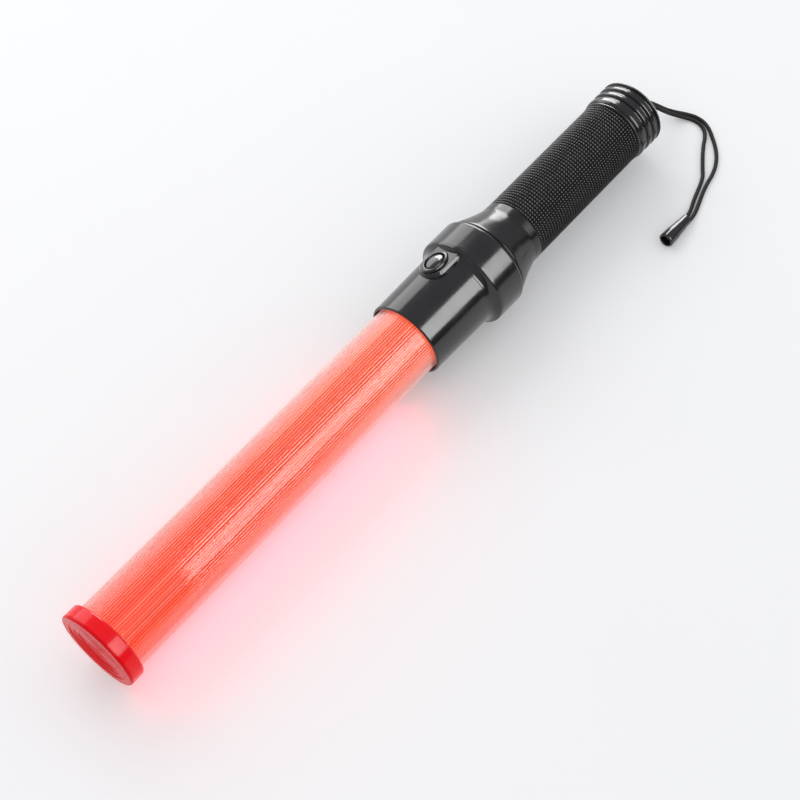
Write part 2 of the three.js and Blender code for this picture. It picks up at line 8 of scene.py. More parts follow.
import bpy
import numpy as np
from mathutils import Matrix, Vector


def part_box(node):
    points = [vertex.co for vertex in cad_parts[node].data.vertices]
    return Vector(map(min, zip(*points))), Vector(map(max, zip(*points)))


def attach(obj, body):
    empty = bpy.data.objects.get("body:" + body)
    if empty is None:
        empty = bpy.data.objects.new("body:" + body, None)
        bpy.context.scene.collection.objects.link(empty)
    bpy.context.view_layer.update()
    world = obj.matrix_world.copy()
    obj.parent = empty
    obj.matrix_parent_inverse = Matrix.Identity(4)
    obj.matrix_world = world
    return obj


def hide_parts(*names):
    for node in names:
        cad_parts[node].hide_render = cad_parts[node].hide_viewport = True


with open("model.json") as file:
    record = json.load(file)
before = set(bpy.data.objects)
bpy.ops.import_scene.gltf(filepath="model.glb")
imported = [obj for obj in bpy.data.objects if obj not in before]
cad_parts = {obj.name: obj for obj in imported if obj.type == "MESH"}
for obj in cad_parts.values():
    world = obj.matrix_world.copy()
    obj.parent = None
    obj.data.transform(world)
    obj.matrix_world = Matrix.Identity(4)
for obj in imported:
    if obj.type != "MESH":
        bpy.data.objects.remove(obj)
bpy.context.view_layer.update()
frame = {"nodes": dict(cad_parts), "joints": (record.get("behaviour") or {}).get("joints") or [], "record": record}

MM = 0.001
TIP_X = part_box("tip_cap")[0].x
AXIS_Z = (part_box("light_tube")[0].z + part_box("light_tube")[1].z) / 2
SIDES = 168
ROUND_STEPS = 5
ROUND_SHARE = 0.45
FACE_WEIGHT = 80
# One flute's depths below the tube's surface, in mm, going round it.
FLUTE_NOTCH = (0, 0, 0, 0, 0, 0, 0.05, 0.14, 0.05)
FLUTES = 84
TUBE_R = 20
TUBE_BORE_R = 18.3
TUBE_EDGE = 0.2
FILM_R = 17.9
FILM_BORE_R = 17.4
CAP_R = 22.9
FACE_RINGS = 20
# Where the tube's colour changes from that of its tip to that of its head end.
LIT_SPAN = (10, 200)
# The squared grip's ends, its radius over the peaks and the depth of its valleys, in mm.
GRIP_START = 318.2
GRIP_END = 405.4
GRIP_R = 19.3
KNURL_HEIGHT = 1.0


def at(station):
    """World X of a station in millimetres from the face of the tip cap."""
    return TIP_X + station * MM


# ---------------------------------------------------------------- camera
AIM = Vector((-0.01613, -0.02106, AXIS_Z))
CAMERA_DISTANCE = 0.9175
CAMERA_AZIMUTH = math.radians(-49.97)
CAMERA_ELEVATION = math.radians(59.6)
FOCAL_MM = 81


def make_camera():
    level = math.cos(CAMERA_ELEVATION)
    back = Vector(
        (
            math.sin(CAMERA_AZIMUTH) * level,
            -math.cos(CAMERA_AZIMUTH) * level,
            math.sin(CAMERA_ELEVATION),
        )
    )
    camera = bpy.data.objects.new("camera", bpy.data.cameras.new("camera"))
    bpy.context.scene.collection.objects.link(camera)
    camera.location = AIM + back * CAMERA_DISTANCE
    camera.rotation_euler = (-back).to_track_quat("-Z", "Y").to_euler()
    camera.data.lens = FOCAL_MM
    bpy.context.scene.camera = camera


make_camera()


# ---------------------------------------------------------------- mesh helpers
def skin(name, loops, body, look, wrap=False):
    """A closed smooth mesh through loops of points; without wrap both ends are capped by fans."""
    count = len(loops[0])
    rows = len(loops)
    points = np.concatenate([np.asarray(loop, float) for loop in loops])
    faces = []
    for row in range(rows if wrap else rows - 1):
        here = row * count
        ahead = ((row + 1) % rows) * count
        for k in range(count):
            side = (k + 1) % count
            faces.append((here + k, here + side, ahead + side, ahead + k))
    if not wrap:
        centres = [loops[0].mean(axis=0), loops[-1].mean(axis=0)]
        points = np.concatenate([points, np.array(centres)])
        first, last = rows * count, rows * count + 1
        start = (rows - 1) * count
        for k in range(count):
            side = (k + 1) % count
            faces.append((first, side, k))
            faces.append((last, start + k, start + side))
    mesh = bpy.data.meshes.new(name)
    mesh.from_pydata(points.tolist(), [], faces)
    if signed_volume(mesh) < 0:
        mesh.flip_normals()
    mesh.shade_smooth()
    mesh.materials.append(look)
    piece = bpy.data.objects.new(name, mesh)
    bpy.context.scene.collection.objects.link(piece)
    shading = piece.modifiers.new("weighted", "WEIGHTED_NORMAL")
    shading.weight = FACE_WEIGHT
    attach(piece, body)
    return piece


def signed_volume(mesh):
    """Six times the mesh's volume, below zero when its faces point inwards."""
    total = 0.0
    for face in mesh.polygons:
        corners = [mesh.vertices[i].co for i in face.vertices]
        for second, third in zip(corners[1:], corners[2:]):
            total += corners[0].dot(second.cross(third))
    return total


def softened(outline, closed=False):
    """Rounds an outline's corners: each is (station, radius, size of its rounding)."""
    points = []
    last = len(outline) - 1
    for i, (station, radius, size) in enumerate(outline):
        here = Vector((station, radius))
        if size == 0 or (not closed and i in (0, last)):
            points.append(here)
            continue
        before = Vector(outline[i - 1][:2]) - here
        after = Vector(outline[(i + 1) % len(outline)][:2]) - here
        reach = min(size, ROUND_SHARE * before.length, ROUND_SHARE * after.length)
        start = here + before.normalized() * reach
        end = here + after.normalized() * reach
        for k in range(ROUND_STEPS + 1):
            t = k / ROUND_STEPS
            points.append((1 - t) ** 2 * start + 2 * t * (1 - t) * here + t * t * end)
    return points


def circle(station, radius, sides=SIDES):
    """A loop round the baton's axis; the radius may be an array with one value for each side."""
    angle = np.arange(sides) * 2 * math.pi / sides
    across = np.asarray(radius) * MM
    return np.stack(
        [
            np.full(sides, at(station)),
            across * np.sin(angle),
            AXIS_Z + across * np.cos(angle),
        ],
        axis=1,
    )


def turned(name, outline, body, look, closed=True, sides=SIDES):
    """A piece turned round the baton's axis from an outline with rounded corners."""
    loops = [circle(p.x, p.y, sides) for p in softened(outline, closed)]
    return skin(name, loops, body, look, wrap=closed)


# ---------------------------------------------------------------- material helpers
class Look:
    """A Principled material with short calls for its procedural nodes."""

    def __init__(self, name, colour, roughness):
        self.material = bpy.data.materials.new(name)
        self.material.use_nodes = True
        self.nodes = self.material.node_tree.nodes
        self.links = self.material.node_tree.links
        self.shader = self.nodes["Principled BSDF"]
        self.place = self.nodes.new("ShaderNodeTexCoord").outputs["Object"]
        self.set("Base Color", (*colour, 1))
        self.set("Roughness", roughness)

    def set(self, socket, value):
        self.shader.inputs[socket].default_value = value

    def drive(self, socket, value):
        self.links.new(value, self.shader.inputs[socket])

    def split(self, vector):
        """The X, Y and Z outputs of a vector."""
        node = self.nodes.new("ShaderNodeSeparateXYZ")
        self.links.new(vector, node.inputs[0])
        return node.outputs

    def stretched(self, x, y, z):
        node = self.nodes.new("ShaderNodeMapping")
        node.inputs["Scale"].default_value = (x, y, z)
        self.links.new(self.place, node.inputs["Vector"])
        return node.outputs["Vector"]

    def round_the_axis(self, around, along):
        """Coordinates unrolled from the baton's axis: the angle round it and the way along it."""
        x, y, z = self.split(self.place)
        angle = self.math("ARCTAN2", y, self.math("SUBTRACT", z, AXIS_Z))
        unrolled = self.nodes.new("ShaderNodeCombineXYZ")
        self.links.new(self.math("MULTIPLY", angle, around), unrolled.inputs[0])
        self.links.new(self.math("MULTIPLY", x, along), unrolled.inputs[1])
        return unrolled.outputs[0]

    def out_from_axis(self, low, high):
        """A value that goes from 0 to 1 between two distances from the baton's axis, in mm."""
        _, y, z = self.split(self.place)
        height = self.math("SUBTRACT", z, AXIS_Z)
        squares = [self.math("POWER", value, 2) for value in (y, height)]
        away = self.math("POWER", self.math("ADD", *squares), 0.5)
        return self.remap(away, low * MM, high * MM, 0, 1)

    def flute_lines(self, phase, sharpness, patches):
        """Thin lines along the flutes, each fading in and out by its own noise."""
        turn = self.split(self.round_the_axis(FLUTES, 0))["X"]
        wave = self.math("COSINE", self.math("SUBTRACT", turn, phase))
        line = self.remap(wave, sharpness, 0.95, 0, 1)
        fade = self.remap(self.noise(1, 2, self.round_the_axis(patches, 5)), 0.35, 0.62, 0.15, 1)
        return self.math("MULTIPLY", line, fade)

    def along_axis(self, start, end):
        """A value that goes from 0 to 1 between two stations."""
        return self.remap(self.split(self.place)["X"], at(start), at(end), 0, 1)

    def noise(self, scale, detail=3, vector=None):
        """Noise from about 0.3 to 0.7, over the object's coordinates unless others are given."""
        node = self.nodes.new("ShaderNodeTexNoise")
        node.inputs["Scale"].default_value = scale
        node.inputs["Detail"].default_value = detail
        self.links.new(vector or self.place, node.inputs["Vector"])
        return node.outputs["Fac"]

    def remap(self, value, low, high, to_low, to_high):
        """A value taken from one span to another, and held at the ends."""
        node = self.nodes.new("ShaderNodeMapRange")
        self.links.new(value, node.inputs["Value"])
        for socket, number in zip(
            ("From Min", "From Max", "To Min", "To Max"), (low, high, to_low, to_high)
        ):
            node.inputs[socket].default_value = number
        return node.outputs["Result"]

    def blend(self, value, first, second):
        """Goes from the first colour to the second as the value goes from 0 to 1."""
        node = self.nodes.new("ShaderNodeMix")
        node.data_type = "RGBA"
        self.links.new(value, node.inputs[0])
        for socket, colour in ((6, first), (7, second)):
            if isinstance(colour, tuple):
                node.inputs[socket].default_value = (*colour, 1)
            else:
                self.links.new(colour, node.inputs[socket])
        return node.outputs[2]

    def math(self, operation, first, second=0):
        node = self.nodes.new("ShaderNodeMath")
        node.operation = operation
        for socket, value in enumerate((first, second)):
            if isinstance(value, (int, float)):
                node.inputs[socket].default_value = value
            else:
                self.links.new(value, node.inputs[socket])
        return node.outputs["Value"]

    def bump(self, height, distance, strength=1.0):
        """Adds relief, on top of any that the material has already."""
        node = self.nodes.new("ShaderNodeBump")
        node.inputs["Distance"].default_value = distance
        node.inputs["Strength"].default_value = strength
        self.links.new(height, node.inputs["Height"])
        previous = self.shader.inputs["Normal"]
        if previous.is_linked:
            self.links.new(previous.links[0].from_socket, node.inputs["Normal"])
        self.links.new(node.outputs["Normal"], previous)

    def speckled(self, first, second, scale, detail=3):
        """Base colour wandering between two close colours."""
        share = self.remap(self.noise(scale, detail), 0.3, 0.7, 0, 1)
        self.drive("Base Color", self.blend(share, first, second))

    def scuffed(self, low, high, scale=90):
        """Roughness wandering between two values, with finer streaks along the baton."""
        broad = self.noise(scale, 4)
        streaks = self.noise(1, 2, self.stretched(60, 2600, 2600))
        both = self.math("MULTIPLY", broad, streaks)
        self.drive("Roughness", self.remap(both, 0.12, 0.42, low, high))


def black_gloss(name="black_gloss_plastic"):
    look = Look(name, (0.0065, 0.0065, 0.0075), 0.16)
    look.speckled((0.0055, 0.0055, 0.0065), (0.009, 0.009, 0.010), 40)
    look.scuffed(0.13, 0.24)
    look.bump(look.noise(420, 2), 0.00002, 0.25)
    look.set("Coat Weight", 0.25)
    look.set("Coat Roughness", 0.08)
    return look.material


def button_black():
    look = Look("button_black_plastic", (0.012, 0.012, 0.013), 0.14)
    look.speckled((0.010, 0.010, 0.011), (0.016, 0.016, 0.017), 300)
    look.scuffed(0.10, 0.2, 300)
    look.bump(look.noise(900, 2), 0.00002, 0.25)
    look.set("Coat Weight", 0.5)
    look.set("Coat Roughness", 0.05)
    return look.material


def black_satin():
    look = Look("black_satin_plastic", (0.006, 0.006, 0.0065), 0.3)
    look.speckled((0.004, 0.004, 0.0045), (0.008, 0.008, 0.0085), 60)
    knurled = look.along_axis(GRIP_START - 1, GRIP_START)
    polish = look.remap(knurled, 0, 1, 0.16, 0.24)
    grain = look.remap(look.noise(140), 0.3, 0.7, 0, 0.08)
    look.drive("Roughness", look.math("ADD", polish, grain))
    worn = look.out_from_axis(GRIP_R - 0.65, GRIP_R - 0.1)
    peaks = look.math("MULTIPLY", look.remap(worn, 0, 1, 0.04, 1.0), knurled)
    smooth = look.math("MULTIPLY", look.math("SUBTRACT", 1, knurled), 0.5)
    look.drive("Specular IOR Level", look.math("MAXIMUM", smooth, peaks))
    look.bump(look.noise(2600, 3), 0.00003, 0.3)
    return look.material


def clear_tube():
    """Clear plastic, pinker towards the tip, with fine dark lines, and with painted highlight lines and a painted
    glow at its edges as emission on its outer wall.
    """
    look = Look("clear_fluted_plastic", (1.0, 0.72, 0.71), 0.05)
    notch = 2 * math.pi * FLUTE_NOTCH.index(max(FLUTE_NOTCH)) / len(FLUTE_NOTCH)
    deep = look.flute_lines(notch + 2.6, 0.2, 26)
    share = look.remap(look.noise(25), 0.3, 0.7, 0, 1)
    tip_tint = look.blend(share, (1.0, 0.62, 0.57), (1.0, 0.56, 0.50))
    head_tint = look.blend(share, (1.0, 0.86, 0.84), (1.0, 0.80, 0.78))
    tint = look.blend(look.along_axis(*LIT_SPAN), tip_tint, head_tint)
    look.drive("Base Color", look.blend(deep, tint, (0.84, 0.26, 0.16)))
    # Paler lines along the flutes are painted highlight lines: less transmission here, and emission below.
    pale = look.flute_lines(notch, 0.5, 34)
    look.drive("Transmission Weight", look.remap(pale, 0, 1, 1, 0.8))
    # A painted glow at the edges, where the surface turns away from the view.
    edge = look.nodes.new("ShaderNodeLayerWeight").outputs["Facing"]
    # Emission on the outer wall only: the painted highlight lines plus the painted edge glow.
    painted_glow_strength = look.math(
        "ADD",
        look.remap(pale, 0, 1, 0, 0.3),
        look.remap(edge, 0.5, 0.95, 0, 0.3),
    )
    outer_wall = look.out_from_axis(TUBE_R - 1, TUBE_R - 0.5)
    look.drive("Emission Strength", look.math("MULTIPLY", painted_glow_strength, outer_wall))
    painted_glow_colour = look.blend(look.along_axis(*LIT_SPAN), (1.0, 0.16, 0.14), (1.0, 0.5, 0.47))
    look.drive("Emission Color", painted_glow_colour)
    look.set("Specular IOR Level", 0.4)
    look.set("IOR", 1.49)
    look.scuffed(0.02, 0.06)
    look.bump(look.noise(1, 2, look.stretched(30, 900, 900)), 0.00003, 0.1)
    return look.material


def red_film():
    """Dark film that glows, paler towards the head, in soft streaks and fine lines."""
    look = Look("glowing_red_film", (0.10, 0.003, 0.002), 0.5)
    streaks = look.noise(1, 3, look.round_the_axis(12, 2))
    share = look.remap(streaks, 0.3, 0.7, 0, 1)
    tip_glow = look.blend(share, (0.94, 0.045, 0.001), (1.0, 0.10, 0.004))
    head_glow = look.blend(share, (0.86, 0.065, 0.003), (1.0, 0.165, 0.026))
    glow = look.blend(look.along_axis(10, 190), tip_glow, head_glow)
    pale = look.remap(look.flute_lines(0.8, 0.35, 30), 0, 1, 0, 0.8)
    glow = look.blend(pale, glow, (1.0, 0.40, 0.26))
    look.drive("Emission Color", glow)
    ripple = look.noise(1, 2, look.round_the_axis(40, 4))
    look.drive("Emission Strength", look.remap(ripple, 0.3, 0.7, 0.86, 1.04))
    look.set("Specular IOR Level", 0.2)
    look.scuffed(0.4, 0.6)
    return look.material


def red_cap():
    """Red plastic with a painted glow standing in for light from behind, duller and finely ringed on its end face.
    """
    look = Look("red_cap_plastic", (0.62, 0.003, 0.006), 0.2)
    look.speckled((0.64, 0.003, 0.005), (0.52, 0.004, 0.010), 60)
    look.scuffed(0.10, 0.2)
    look.bump(look.noise(500, 2), 0.00002, 0.2)
    turns = look.math("MULTIPLY", look.out_from_axis(0, 23), 2 * math.pi * FACE_RINGS)
    look.bump(look.math("SINE", turns), 0.00006, 0.7)
    behind_face = look.along_axis(1.3, 1.8)
    look.drive("Specular IOR Level", look.remap(behind_face, 0, 1, 0.07, 0.22))
    look.set("Subsurface Weight", 0.15)
    look.set("Subsurface Radius", (0.003, 0.0003, 0.0003))
    look.set("Subsurface Scale", 1.0)
    # Emission is a painted glow for light from within: weak on the end face, stronger on the band behind it.
    look.set("Emission Color", (1.0, 0.006, 0.01, 1))
    look.drive("Emission Strength", look.remap(behind_face, 0, 1, 0.06, 0.24))
    return look.material


def circuit_board():
    look = Look("green_circuit_board", (0.03, 0.2, 0.07), 0.35)
    brick = look.nodes.new("ShaderNodeTexBrick")
    brick.inputs["Scale"].default_value = 220
    brick.inputs["Mortar Size"].default_value = 0.06
    look.links.new(look.place, brick.inputs["Vector"])
    tracks = look.blend(brick.outputs["Fac"], (0.02, 0.16, 0.055), (0.05, 0.30, 0.11))
    look.drive("Base Color", tracks)
    look.scuffed(0.28, 0.45)
    look.bump(brick.outputs["Fac"], 0.00003, 0.5)
    return look.material


def lamp():
    look = Look("red_lamp_lens", (1.0, 0.2, 0.12), 0.12)
    look.speckled((1.0, 0.22, 0.14), (1.0, 0.16, 0.09), 500)
    look.scuffed(0.08, 0.2, 300)
    look.set("Transmission Weight", 0.6)
    look.set("Emission Color", (1.0, 0.12, 0.05, 1))
    look.set("Emission Strength", 3.0)
    return look.material


def moulded(name, first, second, low, high, grain=1500):
    look = Look(name, first, (low + high) / 2)
    look.speckled(first, second, 50)
    look.scuffed(low, high)
    look.bump(look.noise(grain, 2), 0.00003, 0.3)
    return look.material


def metal(name, first, second, low, high):
    look = Look(name, first, (low + high) / 2)
    look.set("Metallic", 1.0)
    look.speckled(first, second, 120, 5)
    look.scuffed(low, high, 200)
    look.bump(look.noise(1, 2, look.stretched(200, 4000, 4000)), 0.00001, 0.4)
    return look.material


def cell_jacket():
    look = Look("cell_jacket_foil", (0.05, 0.12, 0.34), 0.3)
    bands = look.noise(1, 0, look.stretched(46, 2, 2))
    share = look.remap(bands, 0.47, 0.5, 0, 1)
    look.drive("Base Color", look.blend(share, (0.04, 0.10, 0.32), (0.55, 0.56, 0.58)))
    look.set("Metallic", 0.4)
    look.scuffed(0.22, 0.4)
    look.bump(look.noise(1, 2, look.stretched(40, 900, 900)), 0.00003, 0.4)
    return look.material


def cord_fibre():
    look = Look("black_braided_cord", (0.006, 0.006, 0.0065), 0.75)
    look.speckled((0.003, 0.003, 0.0035), (0.010, 0.010, 0.011), 1400, 5)
    look.set("Specular IOR Level", 0.25)
    look.set("Sheen Weight", 0.05)
    look.drive("Roughness", look.remap(look.noise(900, 4), 0.3, 0.7, 0.55, 0.8))
    look.bump(look.noise(4200, 4), 0.00006, 0.6)
    return look.material


GLOSS = black_gloss()
SATIN = black_satin()
BUTTON = button_black()
CLEAR = clear_tube()
FILM = red_film()
RED = red_cap()
BOARD = circuit_board()
LAMP = lamp()
WHITE = moulded("white_moulding", (0.80, 0.80, 0.77), (0.74, 0.74, 0.71), 0.38, 0.55)
BRASS = metal("stamped_brass", (0.72, 0.50, 0.20), (0.60, 0.40, 0.15), 0.22, 0.42)
STEEL = metal("plated_steel", (0.60, 0.61, 0.62), (0.50, 0.51, 0.53), 0.2, 0.4)
JACKET = cell_jacket()
RUBBER = moulded("seal_rubber", (0.010, 0.010, 0.010), (0.016, 0.016, 0.016), 0.6, 0.8)
FIBRE = cord_fibre()

SLOT_LOOKS = {
    "clear_tube": CLEAR,
    "red_film": FILM,
    "red_cap": RED,
    "circuit_board": BOARD,
    "lamp": LAMP,
    "white_plastic": WHITE,
    "black_gloss": GLOSS,
    "button_black": BUTTON,
    "black_satin": SATIN,
    "contact_brass": BRASS,
    "contact_steel": STEEL,
    "cell_jacket": JACKET,
    "seal_rubber": RUBBER,
    "cord_black": FIBRE,
}


def dress_cad_nodes():
    """Every node carried over from the frame gets the look of its material slot."""
    for row in frame["record"]["subparts"]:
        node = frame["nodes"][row["node"]]
        node.data.materials.clear()
        node.data.materials.append(SLOT_LOOKS[row["material_slot"]])


dress_cad_nodes()


# ---------------------------------------------------------------- wrist strap
# Each strand's route: station in mm from the tip, sideways place, height above the floor.
CORD_DIAMETER = 0.0024
AXIS_MM = AXIS_Z / MM
CORD_ROUTES = {
    "a": [
        (422, -1.35, AXIS_MM),
        (427, -1.4, AXIS_MM),
        (434, -2.4, 26.2),
        (438.5, -4.3, 23.4),
        (443, -6.5, 18.6),
        (447.5, -8.2, 13.4),
        (452, -9.8, 8.4),
        (456.5, -12.2, 4.2),
        (460, -16, 1.9),
        (461.9, -20.5, 1.3),
        (461.9, -25.3, 1.3),
        (459.7, -29.8, 1.3),
        (455.9, -33, 1.3),
        (451, -35.6, 1.3),
        (446.3, -38.4, 1.3),
        (441.5, -41.6, 1.3),
        (436.8, -44.9, 1.3),
        (431.8, -48.4, 1.3),
        (426.5, -50.6, 1.3),
        (420.5, -52.5, 1.3),
        (414.5, -54.5, 1.3),
        (408.5, -56.7, 1.4),
        (403, -58, 2.2),
        (398.2, -58, 2.9),
    ],
    "b": [
        (422, 1.35, AXIS_MM),
        (427, 1.3, AXIS_MM),
        (434.6, 0.3, 26.2),
        (439.7, -1.9, 23.2),
        (444.6, -4.4, 18.2),
        (449.2, -6.1, 12.9),
        (453.8, -7.8, 7.9),
        (458.7, -10.6, 3.7),
        (462.6, -15, 1.7),
        (464.7, -20.3, 1.3),
        (464.6, -26, 1.3),
        (462.3, -31.4, 1.3),
        (459, -35.8, 1.3),
        (455.3, -40.2, 1.3),
        (451.2, -44.2, 1.3),
        (446.8, -47.4, 1.3),
        (441.8, -50, 1.3),
        (436, -51.9, 1.3),
        (429.5, -53.2, 1.3),
        (422.5, -55.1, 1.3),
        (415.8, -57.4, 1.3),
        (409, -59.6, 1.4),
        (403, -60.7, 2.2),
        (398.2, -60.7, 2.9),
    ],
}
BELL_SIDES = 64
BELL_LENGTH = 20.5
BELL_NECK_R = 3.0
BELL_MOUTH_R = 4.3
CORD_SPACING = 0.00022
CORD_SIDES = 32
BRAID_STRANDS = 8
BRAID_ADVANCE = 0.0085
BRAID_DEPTH = 0.00022


def spline_through(points, per_piece=24):
    """A centripetal Catmull-Rom curve through given points, as a dense line."""
    points = [Vector(p) for p in points]
    points = [2 * points[0] - points[1], *points, 2 * points[-1] - points[-2]]
    line = []
    for p0, p1, p2, p3 in zip(points, points[1:], points[2:], points[3:]):
        t0 = 0.0
        t1 = t0 + (p1 - p0).length ** 0.5
        t2 = t1 + (p2 - p1).length ** 0.5
        t3 = t2 + (p3 - p2).length ** 0.5
        for k in range(per_piece):
            t = t1 + (t2 - t1) * k / per_piece
            a1 = p0 * ((t1 - t) / (t1 - t0)) + p1 * ((t - t0) / (t1 - t0))
            a2 = p1 * ((t2 - t) / (t2 - t1)) + p2 * ((t - t1) / (t2 - t1))
            a3 = p2 * ((t3 - t) / (t3 - t2)) + p3 * ((t - t2) / (t3 - t2))
            b1 = a1 * ((t2 - t) / (t2 - t0)) + a2 * ((t - t0) / (t2 - t0))
            b2 = a2 * ((t3 - t) / (t3 - t1)) + a3 * ((t - t1) / (t3 - t1))
            line.append(b1 * ((t2 - t) / (t2 - t1)) + b2 * ((t - t1) / (t2 - t1)))
    line.append(points[-2])
    return np.array(line)


def evenly(line, spacing):
    """The same line with points at an even spacing."""
    steps = np.linalg.norm(np.diff(line, axis=0), axis=1)
    run = np.concatenate([[0], np.cumsum(steps)])
    places = np.linspace(0, run[-1], max(2, round(run[-1] / spacing)))
    return np.stack([np.interp(places, run, line[:, k]) for k in range(3)], axis=1)


def braided(name, line, body):
    """A round cord along a line, its surface raised into crossing strands."""
    angle = np.arange(CORD_SIDES) * 2 * math.pi / CORD_SIDES
    up = Vector((0, 0, 1))
    loops = []
    run = 0.0
    for i, point in enumerate(line):
        ahead = Vector(line[min(i + 1, len(line) - 1)] - line[max(i - 1, 0)]).normalized()
        side = ahead.cross(up).normalized()
        over = side.cross(ahead)
        up = over
        if i:
            run += np.linalg.norm(point - line[i - 1])
        twist = angle * BRAID_STRANDS / 2
        slide = math.pi * BRAID_STRANDS * run / BRAID_ADVANCE
        weave = np.abs(np.sin(twist + slide) * np.sin(twist - slide)) ** 0.6
        radius = CORD_DIAMETER / 2 - BRAID_DEPTH * (1 - weave)
        across = np.outer(np.cos(angle) * radius, side) + np.outer(np.sin(angle) * radius, over)
        loops.append(point + across)
    return skin(name, loops, body, FIBRE)


def fitting_loops():
    """The bell on the strap's end: from its pocketed neck over the outside into its open mouth."""
    outline = [
        (2.5, 0.4, 0),
        (2.5, 2.85, 0.2),
        (0, 2.85, 0.1),
        (0, BELL_NECK_R, 0.25),
        (3, 3.05, 2),
        (9, 3.6, 3),
        (14, 4.15, 3),
        (BELL_LENGTH - 0.6, BELL_MOUTH_R, 0.5),
        (BELL_LENGTH, 3.9, 0.4),
        (BELL_LENGTH, 3.1, 0.4),
        (19.2, 2.9, 0.4),
        (16.5, 2.8, 0.5),
        (16.5, 0.4, 0),
    ]
    slope = math.atan2(BELL_MOUTH_R - BELL_NECK_R, BELL_LENGTH)
    neck = Vector((at(400.4), -59.35 * MM, 3.3 * MM))
    along = np.array((-math.cos(slope), 0, math.sin(slope)))
    over = np.array((math.sin(slope), 0, math.cos(slope)))
    side = np.array((0, 1, 0))
    angle = np.arange(BELL_SIDES) * 2 * math.pi / BELL_SIDES
    loops = []
    for p in softened(outline):
        ring = np.outer(np.cos(angle), side) + np.outer(np.sin(angle), over)
        loops.append(np.array(neck) + along * p.x * MM + ring * p.y * MM)
    return loops


def make_strap():
    fitting = skin("strap_bell", fitting_loops(), "strap", GLOSS)
    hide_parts("cord_end")
    for name, route in CORD_ROUTES.items():
        world = [(at(x), y * MM, z * MM) for x, y, z in route]
        line = evenly(spline_through(world), CORD_SPACING)
        strand = braided(f"strap_strand_{name}", line, "strap")
        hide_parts(f"wrist_cord_{name}")


make_strap()

# ---------------------------------------------------------------- light end
def stations(node):
    """Where a CAD node starts and ends along the baton."""
    low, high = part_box(node)
    return (low.x - TIP_X) / MM, (high.x - TIP_X) / MM


def make_tube():
    sides = FLUTES * len(FLUTE_NOTCH)
    outer = TUBE_R - np.tile(FLUTE_NOTCH, FLUTES)
    start, end = stations("light_tube")
    loops = [
        circle(start, outer - TUBE_EDGE, sides),
        circle(start + TUBE_EDGE, outer, sides),
        circle(end - TUBE_EDGE, outer, sides),
        circle(end, outer - TUBE_EDGE, sides),
        circle(end, TUBE_BORE_R, sides),
        circle(start, TUBE_BORE_R, sides),
    ]
    tube = skin("fluted_tube", loops, "baton", CLEAR, wrap=True)
    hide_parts("light_tube")


def make_film():
    start, end = stations("colour_liner")
    corners = ((start, FILM_BORE_R), (start, FILM_R), (end, FILM_R), (end, FILM_BORE_R))
    film = turned("glow_film", [(*corner, 0.1) for corner in corners], "baton", FILM)
    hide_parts("colour_liner")


def make_tip_cap():
    """A cup over the tube's end, with three raised steps on its face."""
    outline = [(1.2, 0.4, 0)]
    for depth, radius in ((1.2, 12.2), (0.8, 15.2), (0.4, 18.2)):
        outline.append((depth, radius, 0.25))
        outline.append((depth - 0.4, radius + 0.25, 0.25))
    outline += [
        (0, 22.3, 0.5),
        (0.6, CAP_R, 0.5),
        (8.1, CAP_R, 1.0),
        (9, 22.1, 0.8),
        (9, 20.5, 0.3),
        (2.3, 20.5, 0.3),
        (2.3, 0.4, 0),
    ]
    cap = turned("tip_cap_shell", outline, "baton", RED, closed=False)
    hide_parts("tip_cap")


make_tube()
make_film()
make_tip_cap()


# ---------------------------------------------------------------- head and button
PRESS = Vector(next(j["axis"] for j in frame["joints"] if j["name"] == "button_press"))
OUTWARD = np.array(-PRESS)
ALONG = np.array((1.0, 0, 0))
ACROSS = np.cross(OUTWARD, ALONG)
BUTTON_X = (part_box("push_button")[0].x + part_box("push_button")[1].x) / 2
BUTTON_CENTRE = np.array((BUTTON_X, 0, AXIS_Z))
OVAL_SIDES = 96
POD_HALF_WIDTH = 8.4
POD_FRONT = 9.8
POD_BACK = 11.4
DOME_BASE = 25.3
DOME_RISE = 1.6
DOME_HALF = (5.7, 4.2)


def outside_button(height, along, across):
    """Points by their ways along and across the pod, at a height from the baton's axis, in mm."""
    ways = np.outer(along * MM, ALONG) + np.outer(across * MM, ACROSS)
    return BUTTON_CENTRE + OUTWARD * height * MM + ways


def oval(height, half_length, half_width):
    """An ellipse round the button's direction, at a height from the baton's axis, in mm."""
    angle = np.arange(OVAL_SIDES) * 2 * math.pi / OVAL_SIDES
    return outside_button(height, np.cos(angle) * half_length, np.sin(angle) * half_width)


def pod_loop(height, grow):
    """The pod's outline, round in front and straight beside, grown outwards by some mm."""
    half_width = POD_HALF_WIDTH + grow
    centre = half_width - POD_FRONT - grow
    angle = np.arange(OVAL_SIDES) * 2 * math.pi / OVAL_SIDES
    points = []
    for a in angle:
        c, s = math.cos(a), math.sin(a)
        reach = half_width / max(abs(s), 1e-6)
        if c > 0:
            reach = min(reach, POD_BACK / c)
        x, y = reach * c, reach * s
        if x < centre:
            root = centre * c
            reach = root + math.sqrt(root * root - centre * centre + half_width**2)
            x, y = reach * c, reach * s
        points.append((x, y))
    along, across = np.array(points).T
    return outside_button(height, along, across)


